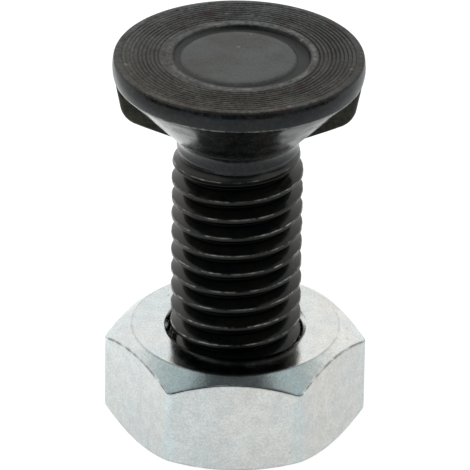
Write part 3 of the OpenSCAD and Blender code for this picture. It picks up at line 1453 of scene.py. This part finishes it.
            # Marks where the thread takes painted shade.
            vert[groove_layer] = self.groove(vert.co)
        for face in mesh.faces:
            face.material_index = self.finish_of(face)
        for edge in mesh.edges:
            finishes = {face.material_index for face in edge.link_faces}
            if len(finishes) > 1 and Finish.NIB in finishes:
                edge.smooth = False
        to_metres(mesh)
        return as_object(mesh, "black_bolt")

    def dress(self, piece: Object, effects: Effects) -> None:
        """Gives the bolt its finishes: blue oxide on the head, a turned face, brown oxide on the thread.

        Args:
            piece: The bolt's object.
            effects: The shared shader effects.
        """
        head = BlackOxide(
            name="blue_black_oxide",
            effects=effects,
            dark=(0.004, 0.0062, 0.0075, 1.0),
            brown=(0.007, 0.0067, 0.006, 1.0),
            sheen=(0.88, 0.97, 1.0, 1.0),
            ior=1.37,
            gloss=(0.12, 0.28),
        )
        face = TurnedFace(
            effects=effects,
            lip_r=self.recess_r + self.lip,
            recess_r=self.recess_r,
            recess_shift=self.recess_shift,
            top_z=self.top_z,
            floor_z=self.floor_z,
            pad_z=self.floor_z + self.pad_height,
            ring_depth=self.ring_depth,
        )
        thread = BlackOxide(
            name="brown_black_oxide",
            effects=effects,
            dark=(0.003, 0.0045, 0.0048, 1.0),
            brown=(0.0085, 0.008, 0.006, 1.0),
            sheen=(1.0, 0.97, 0.9, 1.0),
            ior=1.43,
            filmed=0.04,
            breaks=(0.4, 0.72),
        )
        nibs = BlackOxide(
            name="matt_black_oxide",
            effects=effects,
            dark=(0.034, 0.034, 0.025, 1.0),
            brown=(0.085, 0.081, 0.058, 1.0),
            sheen=(1.0, 0.98, 0.92, 1.0),
            ior=1.25,
            gloss=(0.4, 0.55),
            film=(0.17, 0.165, 0.14, 1.0),
        )
        for finish in (head, face, thread, nibs):
            piece.data.materials.append(finish.material())


@dataclass
class Nut:
    """The hexagon nut. Sizes are in millimetres."""

    height: float
    across_flats: float
    edge_r: float = 0.65
    top_r: float = 7.75
    base_r: float = 8.0
    top_chamfer_deg: float = 32.5
    base_chamfer_deg: float = 30.0
    bore_r: float = 5.0
    sink: float = 0.35
    top_soft: float = 0.072
    edge_soft: float = 0.09
    mouth_soft: float = 0.06
    # Edge marks at the top and the base: they set the burrs and the painted shade lines.
    top_burr_and_shade: float = 0.3
    base_burr_and_shade: float = 0.45
    burr: float = 0.03
    burr_scale: float = 3.0
    # Reach of the painted cool reflection round each upright edge, and the radii over which it fades in.
    reflection_reach: float = 2.5
    reflection_start: float = 8.4
    reflection_end: float = 9.2
    corner_steps: int = 12
    flat_steps: int = 24
    crease_deg: float = 40.0

    @classmethod
    def from_frame(cls) -> "Nut":
        """Takes the nut's height and width from its solid in the frame."""
        low, high = node_box(Body.NUT.value)
        return cls(height=high.z - low.z, across_flats=high.y - low.y)

    @property
    def edge_centre(self) -> float:
        """Distance from the axis to the middle of an upright edge's rounding."""
        return (self.across_flats / 2 - self.edge_r) / math.cos(SIXTH / 2)

    @property
    def touch_angle(self) -> float:
        """Angle from a corner to where its rounding meets the flat."""
        reach = self.edge_centre + self.edge_r * math.cos(SIXTH / 2)
        return math.atan2(self.edge_r * math.sin(SIXTH / 2), reach)

    @staticmethod
    def nearest_corner(angle: float) -> float:
        """Gives the angle of the hexagon's corner that is nearest to an angle."""
        return SIXTH * round(angle / SIXTH)

    def outline(self, angle: float) -> float:
        """Gives the radius of the rounded hexagon.

        Args:
            angle: Angle round the axis, in radians.

        Returns:
            The radius in that direction.
        """
        turn = abs(angle - self.nearest_corner(angle))
        if turn > self.touch_angle:
            return self.across_flats / 2 / math.cos(SIXTH / 2 - turn)
        away = self.edge_centre * math.sin(turn)
        return self.edge_centre * math.cos(turn) + math.sqrt(self.edge_r**2 - away**2)

    def spread(self, angle: float) -> float:
        """Moves an even step round the axis so that the rounded edges get more of the steps.

        Args:
            angle: Angle of the even step, in radians.

        Returns:
            The angle at which that step's points stand.
        """
        corner = self.nearest_corner(angle)
        share = (angle - corner) / (SIXTH / 2)
        edge_share = self.corner_steps / (self.corner_steps + self.flat_steps)
        size = abs(share)
        turn = self.touch_angle * size / edge_share
        if size > edge_share:
            past = (size - edge_share) / (1.0 - edge_share)
            turn = self.touch_angle + (SIXTH / 2 - self.touch_angle) * past
        return corner + math.copysign(turn, share)

    def section(self, angle: float) -> list[Place]:
        """Gives the nut's section in one direction.

        Args:
            angle: Angle round the axis, in radians.

        Returns:
            Radius, height and edge mark of each point.
        """
        fall = math.tan(math.radians(self.top_chamfer_deg))
        climb = math.tan(math.radians(self.base_chamfer_deg))
        out = self.outline(angle)
        mouth = self.bore_r + self.sink
        return soften([
            Corner(self.bore_r, self.sink, self.mouth_soft),
            Corner(self.bore_r, self.height - self.sink, self.mouth_soft),
            Corner(mouth, self.height, self.mouth_soft),
            Corner(self.top_r, self.height, self.top_soft, wear=self.top_burr_and_shade),
            Corner(out, self.height - (out - self.top_r) * fall, self.edge_soft, wear=1.0),
            Corner(out, (out - self.base_r) * climb, self.edge_soft, wear=self.base_burr_and_shade),
            Corner(self.base_r, 0.0, self.edge_soft),
            Corner(mouth, 0.0, self.mouth_soft),
        ])

    def build(self) -> Object:
        """Spins the nut's section and draws its rings out to the hexagon.

        Returns:
            The nut's object, in metres.
        """
        steps = 2 * HEX * (self.corner_steps + self.flat_steps)
        sections = [self.section(self.spread(FULL_TURN * step / steps)) for step in range(steps)]
        mesh = bmesh.new()
        row_layer = mesh.verts.layers.int.new("row")
        wear_layer = mesh.verts.layers.float.new(WEAR)
        # Mark for the painted cool reflection.
        reflection_layer = mesh.verts.layers.float.new(PAINTED_CORNER_REFLECTION)
        first = sections[0]
        profile = draw_profile(mesh, [(radius, height) for radius, height, _ in first], closed=True)
        for row, (vert, point) in enumerate(zip(profile, first)):
            vert[row_layer] = row
            vert[wear_layer] = point[2]
        revolve(mesh, profile, steps)
        for vert in mesh.verts:
            even = math.atan2(vert.co.y, vert.co.x)
            angle = self.spread(even)
            radius, height, wear = sections[round(even / FULL_TURN * steps) % steps][vert[row_layer]]
            # The edge mark sets the burrs here and the painted shade lines in the plate.
            radius -= self.burr * wear * (0.5 + 0.5 * noise.noise(vert.co * self.burr_scale))
            turn = abs(angle - self.nearest_corner(angle))
            # Marks the rounded upright edges for the painted cool reflection.
            on_corner = 1.0 - smooth_step(self.touch_angle, self.reflection_reach * self.touch_angle, turn)
            vert[reflection_layer] = on_corner * smooth_step(self.reflection_start, self.reflection_end, radius)
            vert.co = (radius * math.cos(angle), radius * math.sin(angle), height)
        bmesh.ops.recalc_face_normals(mesh, faces=mesh.faces[:])
        shade(mesh, self.crease_deg)
        to_metres(mesh)
        return as_object(mesh, "zinc_nut")

    def dress(self, piece: Object, effects: Effects) -> None:
        """Gives the nut its zinc plate."""
        piece.data.materials.append(ZincPlate(effects, self.across_flats / 2).material())


@dataclass(frozen=True)
class Studio:
    """Pale floor, soft light and a camera at the photograph's angle.

    The floor's ramps are in metres from the axis, those of walls and ceiling in parts of a direction.
    """

    picture_px: float = 470.0
    sensor_mm: float = 36.0
    focal_px: float = 6089.8
    elevation_deg: float = 28.52
    lean_deg: float = 0.8
    distance_mm: float = 450.3
    aim_mm: Place = (-0.12, 0.0, 15.49)
    clip_start: float = 0.01
    floor_colour: Colour = (0.5, 0.5, 0.5, 1.0)
    floor_rough: float = 0.9
    floor_half: float = 0.12
    floor_gap: float = 0.00001
    floor_seen: float = 0.8
    floor_mirrored: float = 0.53
    left_glow: Ramp = Ramp(0.0, -0.035, 0.0, 0.5)
    left_end: Ramp = Ramp(-0.065, -0.04)
    pool_glow: Ramp = Ramp(0.004, -0.004, 0.0, 0.9)
    pool_left: Ramp = Ramp(-0.03, -0.018)
    pool_front: Ramp = Ramp(0.006, 0.014)
    pool_back: Ramp = Ramp(0.045, 0.03)
    wall: Colour = WHITE
    ceiling: Colour = (0.46, 0.54, 0.56, 1.0)
    dim: Colour = (0.13, 0.145, 0.155, 1.0)
    dark: Colour = (0.075, 0.085, 0.09, 1.0)
    behind_camera: Ramp = Ramp(-0.55, -0.9)
    low_wall: Ramp = Ramp(0.25, 0.1)
    front_wall: Ramp = Ramp(0.3, -0.2)
    strip_edge: Ramp = Ramp(0.2, 0.42)
    ceiling_edge: Ramp = Ramp(0.5, 0.88)
    lamp_place: Place = (-0.45, 0.25, 0.3)
    lamp_size: float = 0.6
    lamp_power: float = 0.6

    def camera(self) -> None:
        """Places the camera."""
        tilt = math.radians(self.elevation_deg)
        lean = math.radians(self.lean_deg)
        back = Vector((0.0, -math.cos(tilt), math.sin(tilt)))
        level = Vector((1.0, 0.0, 0.0))
        upright = Vector((0.0, math.sin(tilt), math.cos(tilt)))
        right = level * math.cos(lean) + upright * math.sin(lean)
        up = upright * math.cos(lean) - level * math.sin(lean)
        data = bpy.data.cameras.new("camera")
        data.sensor_width = self.sensor_mm
        data.lens = self.focal_px / self.picture_px * self.sensor_mm
        data.clip_start = self.clip_start
        eye = bpy.data.objects.new("camera", data)
        turned = Matrix((right, up, back)).transposed().to_4x4()
        place = (Vector(self.aim_mm) + back * self.distance_mm) * MM
        eye.matrix_world = Matrix.Translation(place) @ turned
        bpy.context.scene.collection.objects.link(eye)
        bpy.context.scene.camera = eye

    def glows(self, graph: Graph) -> NodeSocket:
        """Tells how bright the floor's reflection is: brighter at the left and in a pool behind the object.

        Args:
            graph: Graph of the floor's finish.

        Returns:
            The brightness.
        """
        across, along, _ = graph.parts(graph.object_place())
        left, sides, behind = (
            graph.math("MULTIPLY", graph.ramp(part, first), graph.ramp(part, second))
            for part, first, second in (
                (across, self.left_glow, self.left_end),
                (across, self.pool_glow, self.pool_left),
                (along, self.pool_front, self.pool_back),
            )
        )
        glows = graph.math("ADD", left, graph.math("MULTIPLY_ADD", behind, sides, 1.0))
        return graph.math("MULTIPLY", glows, self.floor_mirrored)

    def floor(self) -> None:
        """Lays a white floor that keeps the object's shadow."""
        mesh = bmesh.new()
        bmesh.ops.create_grid(mesh, x_segments=1, y_segments=1, size=self.floor_half)
        bmesh.ops.translate(mesh, verts=mesh.verts[:], vec=(0.0, 0.0, -self.floor_gap))
        ground = as_object(mesh, "floor")
        material, graph, shader = new_finish("white_floor")
        shader.inputs["Base Color"].default_value = self.floor_colour
        shader.inputs["Roughness"].default_value = self.floor_rough
        shader.inputs["Emission Color"].default_value = WHITE
        rays = graph.add("LightPath").outputs
        seen = graph.math("MULTIPLY", rays["Is Camera Ray"], self.floor_seen)
        mirrored = graph.math("MAXIMUM", rays["Is Glossy Ray"], rays["Is Transmission Ray"])
        glow = graph.math("MAXIMUM", seen, graph.math("MULTIPLY", mirrored, self.glows(graph)))
        graph.feed(shader.inputs["Emission Strength"], glow)
        ground.data.materials.append(material)

    def world(self) -> None:
        """Puts up white walls, dim behind the camera and low in front, under a cool ceiling."""
        world = bpy.data.worlds.new("studio")
        world.use_nodes = True
        bpy.context.scene.world = world
        graph = Graph(world.node_tree)
        sky = world.node_tree.nodes["Background"]
        across, along, up = graph.parts(graph.add("TexCoord").outputs["Generated"])
        low_front = graph.math("MULTIPLY", graph.ramp(up, self.low_wall), graph.ramp(along, self.front_wall))
        dimmed = graph.math("MAXIMUM", graph.ramp(along, self.behind_camera), low_front)
        walls = graph.blend(dimmed, self.wall, self.dim)
        beside_strip = graph.ramp(graph.math("ABSOLUTE", across), self.strip_edge)
        ceiling = graph.blend(beside_strip, self.dark, self.ceiling)
        around = graph.blend(graph.ramp(up, self.ceiling_edge), walls, ceiling)
        seen = graph.add("LightPath").outputs["Is Camera Ray"]
        graph.feed(sky.inputs["Color"], graph.blend(seen, around, WHITE))

    def lamp(self) -> None:
        """Hangs a soft square lamp at the left that faces the object."""
        data = bpy.data.lights.new("lamp_left", "AREA")
        data.size = self.lamp_size
        data.energy = self.lamp_power
        lamp = bpy.data.objects.new("lamp_left", data)
        lamp.location = self.lamp_place
        aim = Vector(self.aim_mm) * MM - Vector(self.lamp_place)
        lamp.rotation_euler = aim.to_track_quat("-Z", "Y").to_euler()
        lamp.visible_glossy = False
        bpy.context.scene.collection.objects.link(lamp)

    def build(self) -> None:
        """Sets up camera, floor, world and lamp."""
        bpy.context.scene.view_settings.view_transform = "Standard"
        self.camera()
        self.floor()
        self.world()
        self.lamp()


def main() -> None:
    """Builds the studio, the bolt and the nut."""
    logging.basicConfig(level=logging.INFO, format="%(message)s")
    Studio().build()
    effects = Effects.build()
    for maker, body, slot in ((Bolt, Body.BOLT, Slot.BLACK_STEEL), (Nut, Body.NUT, Slot.ZINC_STEEL)):
        shape = maker.from_frame()
        piece = shape.build()
        shape.dress(piece, effects)
        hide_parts(body.value)
        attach(piece, body.value)
        log.info("%s: %d faces", piece.name, len(piece.data.polygons))


if __name__ == "__main__":
    main()
